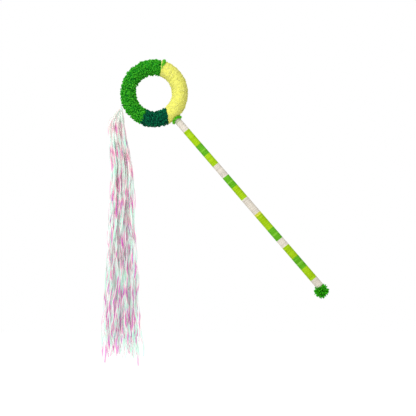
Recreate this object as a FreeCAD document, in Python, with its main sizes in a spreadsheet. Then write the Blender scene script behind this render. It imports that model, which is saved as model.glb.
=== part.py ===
import FreeCAD, Part
import os
import re
import Sketcher

# A rhythmic wand: a yarn-wrapped ring on a thread-wrapped stick with a pom-pom,
# and a hank of film strips that hangs from the ring.
# Millimetres. +X runs from the hank to the pom-pom, +Y is the ring's axis, +Z is up.
# The origin is on the stick's axis, in the middle of the stretch that a hand holds.
# Angles in the ring's plane run anticlockwise from +X, seen from -Y.

SIZES = {
    # the stick
    "stick_length": 305,
    "stick_radius": 4,
    "stick_slope": 49.3,  # degrees below the horizontal, going away from the ring
    "grip_from_ring": 250,  # from the ring's centre to the middle of the grip
    "socket_wall": 1.5,  # the least foam between the socket and the ring's hole
    "glue_film": 0.3,
    "glue_floor": 0.5,
    # the ring
    "ring_radius": 33.9,  # from the ring's centre to the middle of its tube
    "core_radius": 6.5,
    "yarn_radius": 10.5,
    "green_start": 74,
    "green_sweep": 171,
    "dark_green_sweep": 57,
    "tail_angle": 69,
    "tail_sweep": 100,
    "tail_radius": 1.2,
    "tail_sink": 0.4,  # how far the tail's middle lies below the yarn's surface
    # the yarn laid round the stick where it enters the ring
    "collar_yarn_radius": 1,
    "collar_lift": 2,  # from the ring's face to the collar's middle
    # the thread wound on the stick
    "thread_near_ring": 0.6,  # thickness of the winding at its two ends
    "thread_near_pompom": 1.3,
    "bare_end": 2.5,  # the stick's end that the thread leaves bare, in the pom-pom
    # the pom-pom
    "pompom_radius": 8.8,
    "pompom_reach": 3.4,  # from the stick's end to the pom-pom's middle, along the stick
    "pompom_offset": 2.6,  # how far the pom-pom sits to one side of the stick
    "pompom_tie_radius": 1.5,
    "pompom_thread_radius": 0.35,
    # the tie
    "tie_angle": 200,
    "tie_thread_radius": 0.4,
    "tie_loop_sink": 1.4,  # how far the loop draws into the yarn all round
    "tie_loop_pull": 1.1,  # how far the hank's weight pulls the loop out again on its own side
    "knot_radius": 1.2,
    "knot_gap": 0.3,
    "strand_radius": 0.6,
    "strand_length": 2,
    "turning_gap": 0.3,
    # the hank of film strips
    "neck_radius": 1.3,
    "binding_radius": 1.7,
    "binding_length": 3,
    "hank_length": 325,  # from the knot's middle to the ends of the strips
    "flare_depth": 27,  # where the neck has opened out to the hank's upper width
    "flare_half_width": 11,
    "end_half_width": 26,
    "hank_flatness": 0.62,  # depth of the hank as a share of its width
    "hank_lean": 6.9,  # how far the flare leans away from the ring
    "bend_limit": 45,  # degrees that one stretch bends on the next
    "bend_clearance": 0.3,
}

# Colour of each band of thread, counted from the ring, and its width in proportion to the others.
BANDS = [
    ("cream", 20.7),
    ("lime", 24.5),
    ("green", 16.6),
    ("lime", 17.8),
    ("cream", 19.9),
    ("green", 17.7),
    ("lime", 20.3),
    ("cream", 25.5),
    ("yellow", 3.5),
    ("lime", 23.1),
    ("green", 18.3),
    ("cream", 12),
    ("lime", 19),
    ("green", 18),
    ("lime", 19.3),
    ("cream", 12.7),
]
BAND_TOTAL = sum(share for colour, share in BANDS)
STRETCHES = 4
ROUNDED_END = (15, 40, 65, 90)  # degrees round the end of a stretch at which it has a section
# A sketch's circles as they are first drawn, before they take their sizes from the sheet.
FIRST_RADII = (9, 5)
FIRST_ARM = 50

# Places worked out from the sizes.
RING_FACE = "(ring_radius + yarn_radius)"
GLUE_RADIUS = "(stick_radius + glue_film)"
CORE_HALF = f"sqrt(core_radius ^ 2 - {GLUE_RADIUS} ^ 2)"  # the core's half thickness at the socket's side
STICK_START = f"(ring_radius - {CORE_HALF} + socket_wall + glue_floor)"
STICK_END = f"({STICK_START} + stick_length)"
COLLAR_PLACE = f"({RING_FACE} + collar_lift)"
WRAP_START = RING_FACE
WRAP_END = f"({STICK_END} - bare_end)"
POMPOM_PLACE = f"({STICK_END} + pompom_reach)"
KNOT_PLACE = f"({RING_FACE} + knot_gap + knot_radius)"
STRAND_TOP = "(knot_radius + turning_gap)"
NECK_TOP = f"({STRAND_TOP} + strand_length + turning_gap)"
BEND_GAP = "(2 * end_half_width * (1 / cos(bend_limit / 2) - 1) + bend_clearance)"
STRETCH_LENGTH = f"((hank_length - {NECK_TOP} - {STRETCHES - 1} * {BEND_GAP}) / {STRETCHES})"

doc = FreeCAD.newDocument("ribbon_wand")


def write_sheet():
    """The driving sizes, one cell each, with its name beside it."""
    sheet = doc.addObject("Spreadsheet::Sheet", "Sizes")
    for row, (name, value) in enumerate(SIZES.items(), start=1):
        sheet.set(f"A{row}", name)
        sheet.set(f"B{row}", str(value))
        sheet.setAlias(f"B{row}", name)
    doc.recompute()


def in_sheet(formula):
    """The formula with each size's name read from the sheet."""
    return re.sub(r"[a-z_]+", lambda word: f"Sizes.{word[0]}" if word[0] in SIZES else word[0], formula)


def bind(item, **formulas):
    for name, formula in formulas.items():
        item.setExpression(name, in_sheet(formula))


def put(item, place, turn_y="0", turn_x="0"):
    """Puts an item at a place (x, y, z), turned about its X and then about Y."""
    x, y, z = place
    turn = f"rotation(vector(0; 1; 0); {turn_y}) * rotation(vector(1; 0; 0); {turn_x})"
    bind(item, Placement=f"placement(vector({x}; {y}; {z}); {turn})")


def ring_place(distance, angle):
    """A place in the ring's plane, from the ring's centre."""
    x = f"{distance} * cos({angle}) - grip_from_ring * cos(stick_slope)"
    z = f"{distance} * sin({angle}) + grip_from_ring * sin(stick_slope)"
    return x, "0", z


def stick_place(along, aside="0"):
    """A place along the stick from the ring's centre, and aside towards the lower left."""
    x = f"({along} - grip_from_ring) * cos(stick_slope) - {aside} * sin(stick_slope)"
    z = f"(grip_from_ring - {along}) * sin(stick_slope) - {aside} * cos(stick_slope)"
    return x, "0", z


def hank_place(depth, aside="0"):
    """A place below the knot, and aside away from the ring."""
    x, y, z = ring_place(KNOT_PLACE, "tie_angle")
    return f"{x} - {aside}", y, f"{z} - {depth}"


def put_on_stick(item, along, aside="0"):
    put(item, stick_place(along, aside), turn_y="90 + stick_slope")


def origin_plane(body, role):
    return next(plane for plane in body.Origin.OriginFeatures if plane.Role == role)


def sketch_circles(body, role, radii, arm=None):
    """A sketch of circles about one centre, at the origin or an arm's length along the sketch's X."""
    sketch = body.newObject("Sketcher::SketchObject", f"{body.Name}_sketch")
    sketch.AttachmentSupport = [(origin_plane(body, role), "")]
    sketch.MapMode = "FlatFace"
    middle = FreeCAD.Vector(FIRST_ARM if arm else 0, 0, 0)
    for number in range(len(radii)):
        first = FIRST_RADII[number]
        sketch.addGeometry(Part.Circle(middle, FreeCAD.Vector(0, 0, 1), first))
        rule = sketch.addConstraint(Sketcher.Constraint("Radius", number, first))
        sketch.renameConstraint(rule, f"radius_{number}")
        if number:
            sketch.addConstraint(Sketcher.Constraint("Coincident", number, 3, 0, 3))
    if arm:
        sketch.addConstraint(Sketcher.Constraint("PointOnObject", 0, 3, -1))
        rule = sketch.addConstraint(Sketcher.Constraint("DistanceX", -1, 1, 0, 3, middle.x))
        sketch.renameConstraint(rule, "arm")
        bind(sketch, **{"Constraints.arm": arm})
    else:
        sketch.addConstraint(Sketcher.Constraint("Coincident", 0, 3, -1, 1))
    for number, radius in enumerate(radii):
        bind(sketch, **{f"Constraints.radius_{number}": radius})
    return sketch


def rod(label, length, radii):
    """A body padded from its origin along +Z: a rod, or a tube where two radii are given."""
    body = doc.addObject("PartDesign::Body", label)
    pad = body.newObject("PartDesign::Pad", f"{label}_pad")
    pad.Profile = sketch_circles(body, "XY_Plane", radii)
    bind(pad, Length=length)
    body.Tip = pad
    return body


def ring_arc(label, radii, middle, sweep):
    """A body turned about the ring's axis, as far to each side of its middle angle."""
    body = doc.addObject("PartDesign::Body", label)
    turned = body.newObject("PartDesign::Revolution", f"{label}_turned")
    sketch = sketch_circles(body, "XZ_Plane", radii, arm="ring_radius")
    turned.Profile = sketch
    turned.ReferenceAxis = (sketch, ["V_Axis"])
    turned.Midplane = True
    bind(turned, Angle=sweep)
    body.Tip = turned
    put(body, ring_place("0", "0"), turn_y=f"-({middle})", turn_x="90")
    return body


def loop(label, radius, thread_radius, sweep="360"):
    """A round loop of thread, or part of one."""
    torus = doc.addObject("Part::Torus", label)
    bind(torus, Radius1=radius, Radius2=thread_radius, Angle3=sweep)
    return torus


def loop_on_ring(label, radius, thread_radius, angle, sweep="360", pull="0"):
    """Yarn or thread round the ring's tube, from its outer side over its front."""
    torus = loop(label, radius, thread_radius, sweep)
    put(torus, ring_place(f"(ring_radius + {pull})", angle), turn_y=f"-({angle})", turn_x="180")
    return torus


def ball(label, radius):
    sphere = doc.addObject("Part::Sphere", label)
    bind(sphere, Radius=radius)
    return sphere


def cut(label, whole, *tools):
    """The whole without the tools."""
    rest = whole
    for number, tool in enumerate(tools, start=1):
        last = number == len(tools)
        less = doc.addObject("Part::Cut", label if last else f"{label}_less_{number}")
        less.Base = rest
        less.Tool = tool
        rest = less
    return rest


def make_stick():
    dowel = rod("stick_dowel", "stick_length", ["stick_radius"])
    put_on_stick(dowel, STICK_START)
    return dowel


def make_ring_core(dowel):
    """The foam ring with its blind socket, and the glue between the socket and the stick."""
    floor = f"({STICK_START} - glue_floor)"
    socket = rod("socket", f"{RING_FACE} - {floor}", [GLUE_RADIUS])
    put_on_stick(socket, floor)
    core = cut("ring_core", ring_arc("core_blank", ["core_radius"], "0", "360"), socket)
    plug = rod("ring_glue_plug", f"ring_radius + {CORE_HALF} - {floor}", [GLUE_RADIUS])
    put_on_stick(plug, floor)
    return [core, cut("ring_glue", plug, dowel)]


def thread_thickness(share):
    """The winding's thickness, where a share of it lies between there and the ring."""
    return f"(thread_near_ring + (thread_near_pompom - thread_near_ring) * {share})"


def make_collar():
    """The yarn laid round the first band of thread, touching it."""
    first_band = thread_thickness(BANDS[0][1] / 2 / BAND_TOTAL)
    radius = f"stick_radius + {first_band} + collar_yarn_radius"
    collar = loop("ring_collar", radius, "collar_yarn_radius")
    put_on_stick(collar, COLLAR_PLACE)
    return collar


def make_yarn(dowel, collar, tie_loop):
    """Three arcs of yarn that meet end to end, and the green tail that crosses the yellow."""
    radii = ["yarn_radius", "core_radius"]
    green = ring_arc("green_arc", radii, "green_start + green_sweep / 2", "green_sweep")
    green = cut("yarn_green", green, tie_loop)
    dark_start = "green_start + green_sweep"
    dark = ring_arc(
        "yarn_dark_green", radii, f"{dark_start} + dark_green_sweep / 2", "dark_green_sweep"
    )
    yellow_sweep = "360 - green_sweep - dark_green_sweep"
    yellow_middle = f"green_start - ({yellow_sweep}) / 2"
    yellow = ring_arc("yellow_arc", radii, yellow_middle, yellow_sweep)
    tail = loop_on_ring(
        "yarn_green_tail", "yarn_radius - tail_sink", "tail_radius", "tail_angle", "tail_sweep"
    )
    return [green, dark, cut("yarn_yellow", yellow, dowel, collar, tail), tail]


def make_bands():
    """Bands of thread along the whole stick, each a little thicker than the one before."""
    wound = f"({WRAP_END} - {WRAP_START})"
    bands = []
    before = 0
    for number, (colour, share) in enumerate(BANDS, start=1):
        thread = thread_thickness((before + share / 2) / BAND_TOTAL)
        label = f"wrap_{number:02}_{colour}"
        radii = [f"stick_radius + {thread}", "stick_radius"]
        band = rod(label, f"{wound} * {share / BAND_TOTAL}", radii)
        put_on_stick(band, f"({WRAP_START} + {wound} * {before / BAND_TOTAL})")
        bands.append(band)
        before += share
    return bands


def make_pompom(dowel):
    """The pile, the thread that ties its middle, and the glue on the stick's end."""
    pile = ball("pile_ball", "pompom_radius")
    put_on_stick(pile, POMPOM_PLACE, "pompom_offset")
    tie = loop("pompom_tie", "pompom_tie_radius", "pompom_thread_radius")
    put_on_stick(tie, POMPOM_PLACE, "pompom_offset")
    plug = rod("pompom_glue_plug", "bare_end + glue_floor", [GLUE_RADIUS])
    put_on_stick(plug, WRAP_END)
    sleeve = rod("pile_sleeve", "pompom_radius * 2", ["stick_radius + thread_near_pompom"])
    put_on_stick(sleeve, f"({WRAP_END} - pompom_radius * 2)")
    pile = cut("pompom_pile", pile, sleeve, plug, tie)
    return [pile, tie, cut("pompom_glue", plug, dowel)]


def make_tie():
    """The loop round the ring, the knot outside it, and the thread down to the binding."""
    loop_radius = "yarn_radius - tie_loop_sink"
    tie_loop = loop_on_ring("tie_loop", loop_radius, "tie_thread_radius", "tie_angle", pull="tie_loop_pull")
    knot = ball("tie_knot", "knot_radius")
    put(knot, hank_place("0"))
    strand = rod("tie_strand", "strand_length", ["strand_radius"])
    put(strand, hank_place(f"({STRAND_TOP} + strand_length)"))
    binding = rod("neck_binding", "binding_length", ["binding_radius", "neck_radius"])
    put(binding, hank_place(f"({NECK_TOP} + binding_length)"))
    return [tie_loop, knot, strand, binding]


def stretch_top(number):
    return f"({NECK_TOP} + {number} * ({STRETCH_LENGTH} + {BEND_GAP}))"


def stretch_bottom(number):
    return f"({stretch_top(number)} + {STRETCH_LENGTH})"


def half_width(depth):
    """Half the hank's width: it widens evenly from the flare to the ends of the strips."""
    share = f"({depth} - flare_depth) / (hank_length - flare_depth)"
    return f"(flare_half_width + (end_half_width - flare_half_width) * {share})"


def lean(depth):
    """How far the first stretch leans away from the ring, none at its lower end."""
    bottom = stretch_bottom(0)
    return f"(hank_lean * ({bottom} - {depth}) / ({bottom} - flare_depth))"


def section(label, depth, half, flatness="hank_flatness", aside="0"):
    """A level ellipse across the hank."""
    oval = doc.addObject("Part::Ellipse", label)
    bind(oval, MajorRadius=half, MinorRadius=f"{half} * {flatness}")
    put(oval, hank_place(depth, aside))
    return oval


def rounded_end(label, tip, radius, inward):
    """Sections round one end of a stretch, from its tip to its full width."""
    return [
        section(
            f"{label}_{angle}",
            f"({tip} + {inward} * {radius} * (1 - cos({angle})))",
            f"({radius} * sin({angle}))",
        )
        for angle in ROUNDED_END
    ]


def make_stretch(number):
    """One stretch of the hank. The first starts as the bound neck, and the last ends cut off."""
    label = f"streamer_{number + 1}"
    top = stretch_top(number)
    bottom = stretch_bottom(number)
    if number == 0:
        sections = [
            section(f"{label}_neck_top", top, "neck_radius", "1"),
            section(f"{label}_neck_end", f"({top} + binding_length)", "neck_radius", "1"),
            section(f"{label}_flare", "flare_depth", "flare_half_width", aside=lean("flare_depth")),
        ]
    else:
        sections = rounded_end(f"{label}_top", top, half_width(top), 1)
    if number == STRETCHES - 1:
        sections += [section(f"{label}_cut", bottom, half_width(bottom))]
    else:
        sections += reversed(rounded_end(f"{label}_bottom", bottom, half_width(bottom), -1))
    stretch = doc.addObject("Part::Loft", label)
    stretch.Sections = sections
    stretch.Solid = True
    stretch.Ruled = True
    return stretch


def check(parts):
    """Stops at anything that failed, before a file is written."""
    failed = [item.Name for item in doc.Objects if {"Invalid", "Error"} & set(item.State)]
    if failed:
        raise RuntimeError(f"failed to recompute: {failed}")
    for part in parts:
        if part.Shape.isNull() or not part.Shape.isValid() or not part.Shape.Solids:
            raise RuntimeError(f"{part.Label} is not a valid solid")


def build():
    write_sheet()
    dowel = make_stick()
    tie_parts = make_tie()
    collar = make_collar()
    bands = make_bands()
    parts = [dowel, collar, *tie_parts, *bands]
    parts += make_ring_core(dowel)
    parts += make_yarn(dowel, collar, tie_parts[0])
    parts += make_pompom(dowel)
    parts += [make_stretch(number) for number in range(STRETCHES)]
    doc.recompute()
    check(parts)
    return parts


os.makedirs("parts", exist_ok=True)
for part in build():
    part.Shape.exportStep(f"parts/{part.Label}.step")
    print(part.Label, round(part.Shape.Volume, 1), len(part.Shape.Solids))
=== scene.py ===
import math

import bmesh
import bpy
import numpy as np
from bpy.props import FloatProperty, FloatVectorProperty, IntProperty, PointerProperty
from mathutils import Matrix, Vector


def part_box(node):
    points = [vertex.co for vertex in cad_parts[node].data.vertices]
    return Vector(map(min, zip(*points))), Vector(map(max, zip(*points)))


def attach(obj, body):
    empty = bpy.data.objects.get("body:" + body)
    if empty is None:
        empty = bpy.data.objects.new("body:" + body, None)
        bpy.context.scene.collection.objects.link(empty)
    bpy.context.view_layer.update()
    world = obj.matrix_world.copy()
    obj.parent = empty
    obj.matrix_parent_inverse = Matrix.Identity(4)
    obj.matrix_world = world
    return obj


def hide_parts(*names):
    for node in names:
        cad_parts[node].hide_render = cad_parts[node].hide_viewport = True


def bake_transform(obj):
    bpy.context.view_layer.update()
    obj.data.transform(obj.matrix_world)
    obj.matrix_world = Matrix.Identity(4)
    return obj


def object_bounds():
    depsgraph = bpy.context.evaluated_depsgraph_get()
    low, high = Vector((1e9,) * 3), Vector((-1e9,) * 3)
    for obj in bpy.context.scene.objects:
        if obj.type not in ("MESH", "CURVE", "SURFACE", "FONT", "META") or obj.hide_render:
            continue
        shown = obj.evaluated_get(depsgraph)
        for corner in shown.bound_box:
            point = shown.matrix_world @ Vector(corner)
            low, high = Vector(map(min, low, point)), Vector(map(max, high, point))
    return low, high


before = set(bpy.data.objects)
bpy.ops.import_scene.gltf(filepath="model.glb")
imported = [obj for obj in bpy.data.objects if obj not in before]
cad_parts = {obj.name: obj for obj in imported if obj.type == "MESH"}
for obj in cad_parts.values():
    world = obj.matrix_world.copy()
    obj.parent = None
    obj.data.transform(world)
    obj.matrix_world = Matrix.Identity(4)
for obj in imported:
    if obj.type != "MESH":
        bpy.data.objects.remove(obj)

bl_info = {
    "name": "Ribbon wand",
    "version": (1, 0, 0),
    "blender": (4, 5, 0),
    "location": "3D View > Sidebar > Wand",
    "description": "Makes a ribbon wand's yarn, thread, pom-pom, tie and film strips",
    "category": "Add Mesh",
}

CAD_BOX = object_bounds()
FULL_TURN = 2 * math.pi
MM = 0.001


# Places and sizes, read from the frame.

def middle(node):
    low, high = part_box(node)
    return (low + high) / 2


def extent(node):
    low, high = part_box(node)
    return high - low


RING_CENTRE = middle("ring_core")
CORE_RADIUS = extent("ring_core").y / 2
RING_RADIUS = extent("ring_core").x / 2 - CORE_RADIUS
YARN_RADIUS = extent("yarn_dark_green").y / 2
STICK_WAY = -RING_CENTRE.normalized()  # along the stick, from the ring to the pom-pom
STICK_RADIUS = extent("stick_dowel").y / 2
KNOT = middle("tie_knot")
FRONT = Vector((0, -1, 0))


def points_of(node):
    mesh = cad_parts[node].data
    points = np.zeros(len(mesh.vertices) * 3)
    mesh.vertices.foreach_get("co", points)
    return points.reshape(-1, 3)


def arc_of(node):
    """The angles round the ring, anticlockwise from +X, where an arc of yarn starts and ends."""
    spokes = (points_of(node) - np.array(RING_CENTRE)) @ np.array([1, 0, 1j])
    mean = np.angle(spokes.mean())
    turned = np.angle(spokes * np.exp(-1j * mean))
    return mean + turned.min(), mean + turned.max()


def sleeve_of(node):
    """The middle, outer radius and length of a sleeve on the stick."""
    radius = extent(node).y / 2
    length = (extent(node).x - 2 * radius * abs(STICK_WAY.z)) / STICK_WAY.x
    return middle(node), radius, length


def paint(red, green, blue):
    """A colour as linear light, from screen values of 0 to 255."""
    return tuple(((value / 255 + 0.055) / 1.055) ** 2.4 for value in (red, green, blue))


# What a user would change.

def size_setting(name, told, default):
    return FloatProperty(name=name, description=told, default=default, unit="LENGTH", precision=5)


def angle_setting(name, told, degrees):
    return FloatProperty(name=name, description=told, default=math.radians(degrees), subtype="ANGLE")


def colour_setting(name, told, *screen):
    return FloatVectorProperty(
        name=name, description=told, default=paint(*screen), subtype="COLOR", min=0, max=1
    )


def count_setting(name, told, default):
    return IntProperty(name=name, description=told, default=default, min=0)


def share_setting(name, told, default):
    return FloatProperty(name=name, description=told, default=default, min=0)


class RibbonWandYarn(bpy.types.PropertyGroup):
    """The yarn wound round the ring."""

    turn_angle: angle_setting("Turn", "Angle round the ring that one turn of yarn takes up", 9.5)
    valley: size_setting("Valley", "How deep the valleys of the green yarns are", 2.4 * MM)
    plush_valley: size_setting("Plush valley", "How deep the valleys of the yellow are", 0.45 * MM)
    wobble: size_setting("Wobble", "How far the winding swells and sinks", 0.7 * MM)
    top_lean: angle_setting("Top lean", "How far the edge of the green leans at the top", 3)
    low_lean: angle_setting("Low lean", "How far the edge of the dark green leans", -6)
    stand: share_setting("Stand", "How much of a nub's length the winding leaves room for", 0.7)
    nub_length: size_setting("Nub length", "Length of one curled nub of the green yarns", 2.0 * MM)
    nub_radius: size_setting("Nub radius", "Radius of one nub of the green yarns", 0.8 * MM)
    nub_lean: angle_setting("Nub lean", "How far a nub of the green yarns may lean", 51.6)
    plush_lean: angle_setting("Plush lean", "How far a nub of the yellow yarn may lean", 12)
    plush_length: size_setting("Plush length", "Length of one nub of the yellow yarn", 0.3 * MM)
    plush_radius: size_setting("Plush radius", "Radius of one nub of the yellow yarn", 0.8 * MM)
    nubs_per_cm2: share_setting("Nubs", "Nubs of green yarn on each square centimetre", 30)
    plush_per_cm2: share_setting("Plush nubs", "Nubs of yellow yarn on each square centimetre", 25)
    # Each gap colour is painted shade, put in the depths between nubs and in the valleys between turns; each
    # light colour is a painted highlight on the nubs' tips.
    green: colour_setting("Green", "Colour of the green yarn", 36, 144, 24)
    green_painted_highlight: colour_setting("Green light", "Tips of the green yarn", 72, 172, 42)
    green_painted_shade: colour_setting("Green gap", "Depths of the green yarn", 5, 85, 25)
    dark: colour_setting("Dark green", "Colour of the dark green yarn", 0, 80, 52)
    dark_painted_highlight: colour_setting("Dark light", "Tips of the dark green yarn", 15, 115, 75)
    dark_painted_shade: colour_setting("Dark gap", "Depths of the dark green yarn", 0, 48, 38)
    yellow: colour_setting("Yellow", "Colour of the yellow yarn", 206, 205, 104)
    yellow_painted_highlight: colour_setting("Yellow light", "Tips of the yellow yarn", 211, 208, 126)
    yellow_painted_shade: colour_setting("Yellow gap", "Depths of the yellow yarn", 205, 203, 92)
    collar: colour_setting("Collar", "Colour of the yarn round the stick", 80, 180, 20)
    collar_painted_highlight: colour_setting("Collar light", "Tips of the yarn round the stick", 120, 205, 60)
    collar_bulge: size_setting("Collar bulge", "How far the collar rides up the ring in front", 2.6 * MM)
    collar_radius: size_setting("Collar thickness", "Radius of the collar's yarn", 0.9 * MM)
    tail_radius: size_setting("Tail thickness", "Radius of the tail at the ring's rim", 1.8 * MM)


class RibbonWandThread(bpy.types.PropertyGroup):
    """The thread wound on the stick."""

    pitch: size_setting("Pitch", "Width of one turn of thread", 1.05 * MM)
    overlap: share_setting("Overlap", "Width of the thread as a share of the pitch", 1.15)
    stray_place: size_setting("Stray turn", "Where a stray green turn crosses the first band", 4.5 * MM)
    cream: colour_setting("Cream", "Colour of the cream thread", 200, 193, 181)
    lime: colour_setting("Lime", "Colour of the lime thread", 148, 184, 3)
    green: colour_setting("Green", "Colour of the green thread", 88, 162, 20)
    yellow: colour_setting("Yellow", "Colour of the yellow thread", 190, 194, 60)
    stray_in_cream: colour_setting("Stray in cream", "The stray turn in the first band", 150, 172, 118)
    stray_in_green: colour_setting("Stray in green", "The paler turns in the green bands", 118, 180, 50)


class RibbonWandPompom(bpy.types.PropertyGroup):
    """The pom-pom."""

    heart: size_setting("Heart", "Radius at which the cut ends of yarn stand up", 5.6 * MM)
    end_length: size_setting("Length", "Length of one cut end of yarn", 3.9 * MM)
    end_radius: size_setting("Radius", "Radius of one cut end of yarn", 0.62 * MM)
    ends_per_cm2: share_setting("Ends", "Cut ends on each square centimetre", 100)
    green: colour_setting("Green", "Colour of the pile", 36, 145, 10)
    # The light colour is a painted highlight on the pile's tips, and the gap colour is painted shade in its
    # depths and on the heart beneath.
    light: colour_setting("Light", "Tips of the pile", 60, 185, 20)
    gap: colour_setting("Gap", "Depths of the pile", 0, 62, 16)


class RibbonWandTie(bpy.types.PropertyGroup):
    """The thread that the film strips hang from."""

    thread_radius: size_setting("Thread", "Radius of the thread in the knot and the strand", 0.4 * MM)
    loop_depth: size_setting("Loop depth", "How deep in the yarn the loop lies round the ring", 3.2 * MM)
    binding_pitch: size_setting("Binding pitch", "Width of one turn of the binding", 0.5 * MM)
    colour: colour_setting("Colour", "Colour of the thread", 205, 226, 222)


class RibbonWandFilm(bpy.types.PropertyGroup):
    """The hank of film strips."""

    strips: count_setting("Strips", "How many strips the hank has", 120)
    width: size_setting("Width", "Width of one strip", 2.4 * MM)
    neck_width: size_setting("Neck width", "Width of a strip where it is gathered in the neck", 0.6 * MM)
    cup: size_setting("Cup", "How far a strip's middle stands out from its edges", 0.3 * MM)
    flare_depth: size_setting("Flare depth", "Depth below the knot at which the neck has opened out", 27 * MM)
    flare_half: size_setting("Flare half width", "Half the hank's width at the flare", 11 * MM)
    lean: size_setting("Lean", "How far the flare leans away from the ring", 6.9 * MM)
    flatness: share_setting("Flatness", "Depth of the hank as a share of its width", 0.62)
    wander: size_setting("Wander", "How far a strip strays from its own line at its lower end", 4.5 * MM)
    shortest: share_setting("Shortest", "Length of the shortest strip, as the hank's share", 0.92)
    usual: share_setting("Usual", "Length that most strips stay under, as the hank's share", 1.02)
    longest: share_setting("Longest", "Length of the longest strip, as the hank's share", 1.05)
    colour_above: share_setting("Colour above", "How far the strips' tints spread near the tie", 0.35)
    colour_below: share_setting("Colour below", "How far the strips' tints spread at the lower end", 1.5)
    edge_shift: share_setting("Edge shift", "How far a strip's two edges differ in tint", 0.3)
    bend: size_setting("Bend", "Half the length over which the hank bends at a joint", 25 * MM)
    alpha: share_setting("Cover", "How much of what lies behind a strip it hides", 0.7)
    seed: count_setting("Seed", "Start of the random numbers", 7)


class RibbonWandStage(bpy.types.PropertyGroup):
    """The floor, the light and the camera."""

    distance: size_setting("Distance", "From the camera to the wand", 3.0)
    field: size_setting("Field", "Width of the view at the wand", 0.545)
    shift_x: size_setting("Framing X", "How far the view's middle is from the wand's, sideways", -8.8 * MM)
    shift_z: size_setting("Framing Z", "How far the view's middle is from the wand's, upwards", -2.15 * MM)
    floor_gap: size_setting("Floor gap", "From the floor to the hank's longest strip", 120 * MM)
    sky: share_setting("Sky", "Strength of the light from all around", 0.66)
    sun: share_setting("Sun", "Strength of the broad light from the upper left", 1.9)
    key: share_setting("Key", "Power of the near light at the ring's side, in watts", 3.2)


# Node trees.

def by(operation):
    """A way to work on a number, with others where the operation takes them."""
    return lambda number, *others: number.worked(operation, *others)


class Number:
    """A number that a node tree works out, written with the usual signs."""

    __add__ = by("ADD")
    __sub__ = by("SUBTRACT")
    __mul__ = by("MULTIPLY")
    __truediv__ = by("DIVIDE")
    power = by("POWER")
    cosine = by("COSINE")
    sine = by("SINE")
    root = by("SQRT")
    fraction = by("FRACT")
    floor = by("FLOOR")
    absolute = by("ABSOLUTE")
    below = by("LESS_THAN")

    def __init__(self, tree, socket):
        self.tree = tree
        self.socket = socket

    def worked(self, operation, *others):
        values = dict(enumerate((self, *others)))
        return self.tree.number("ShaderNodeMath", values, operation=operation)


class Tree:
    """A node tree in the making."""

    def __init__(self, group):
        self.group = group

    def node(self, kind, inputs=None, **settings):
        """A new node with its settings, and its inputs set or linked by name or number."""
        made = self.group.nodes.new(kind)
        for name, value in settings.items():
            setattr(made, name, value)
        for name, value in (inputs or {}).items():
            self.give(made.inputs[name], value)
        return made

    def give(self, socket, value):
        source = value.socket if isinstance(value, Number) else value
        if isinstance(source, bpy.types.NodeSocket):
            self.group.links.new(source, socket)
        else:
            socket.default_value = source

    def number(self, kind, inputs=None, output=0, **settings):
        return Number(self, self.node(kind, inputs, **settings).outputs[output])

    def constant(self, value):
        return self.number("ShaderNodeMath", {0: value, 1: 0.0}, operation="ADD")

    def split(self, vector):
        """The three numbers of a vector."""
        node = self.node("ShaderNodeSeparateXYZ", {0: vector})
        return [Number(self, socket) for socket in node.outputs]


class MeshTree(Tree):
    """A Geometry Nodes tree with named inputs and a material."""

    def __init__(self, name, numbers):
        super().__init__(bpy.data.node_groups.new(name, "GeometryNodeTree"))
        sockets = self.group.interface
        sockets.new_socket("Geometry", in_out="INPUT", socket_type="NodeSocketGeometry")
        sockets.new_socket("Geometry", in_out="OUTPUT", socket_type="NodeSocketGeometry")
        for label in numbers:
            kind = "NodeSocketInt" if label in ("Seed", "Turns", "Rows", "Columns") else "NodeSocketFloat"
            sockets.new_socket(label, in_out="INPUT", socket_type=kind)
        sockets.new_socket("Material", in_out="INPUT", socket_type="NodeSocketMaterial")
        self.inputs = self.node("NodeGroupInput").outputs

    def given(self, label):
        return Number(self, self.inputs[label])

    def store(self, geometry, name, value, domain="POINT"):
        inputs = {"Geometry": geometry, "Name": name, 3: value}
        node = self.node("GeometryNodeStoreNamedAttribute", inputs, data_type="FLOAT", domain=domain)
        return node.outputs[0]

    def named(self, name):
        return self.number("GeometryNodeInputNamedAttribute", {"Name": name}, data_type="FLOAT")

    def random(self, low, high, seed, **inputs):
        values = {2: low, 3: high, "Seed": seed, **inputs}
        return self.number("FunctionNodeRandomValue", values, output=1, data_type="FLOAT")

    def noise(self, scale, vector):
        """Smooth noise from -1 to 1."""
        inputs = {"Vector": vector, "Scale": scale, "Detail": 1.0}
        return self.number("ShaderNodeTexNoise", inputs) * 2.0 - 1.0

    def combine(self, x, y, z):
        return self.node("ShaderNodeCombineXYZ", {0: x, 1: y, 2: z}).outputs[0]

    def join(self, *geometries):
        node = self.node("GeometryNodeJoinGeometry")
        for geometry in geometries:
            self.group.links.new(geometry, node.inputs[0])
        return node.outputs[0]

    def end(self, geometry):
        """Ends the tree: makes instances real, smooths the faces and sets the material."""
        real = self.node("GeometryNodeRealizeInstances", {0: geometry}).outputs[0]
        smooth = self.node("GeometryNodeSetShadeSmooth", {0: real}).outputs[0]
        coloured = self.node("GeometryNodeSetMaterial", {0: smooth, "Material": self.inputs["Material"]})
        output = self.node("NodeGroupOutput")
        self.group.links.new(coloured.outputs[0], output.inputs[0])
        return self.group


SKIN_ROWS = 14  # rows of points for each turn of yarn
SKIN_COLUMNS = 49
LUMP_SCALE = 1.6
LUMPS_ALONG = 4.0  # how much faster the lumps change along the ring than round its tube
TURN_SWAY = 0.16  # how far the lumps push a turn aside, as a share of a turn
END_OF_ARC = 0.4999  # past this, on either side of the arc's middle, the skin closes
CREST_PAINTED_LIGHT = 0.35  # how pale the crest of a turn is painted beside a nub's tip; the valleys between turns get painted shade
DOUBLED = 0.00001


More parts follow.
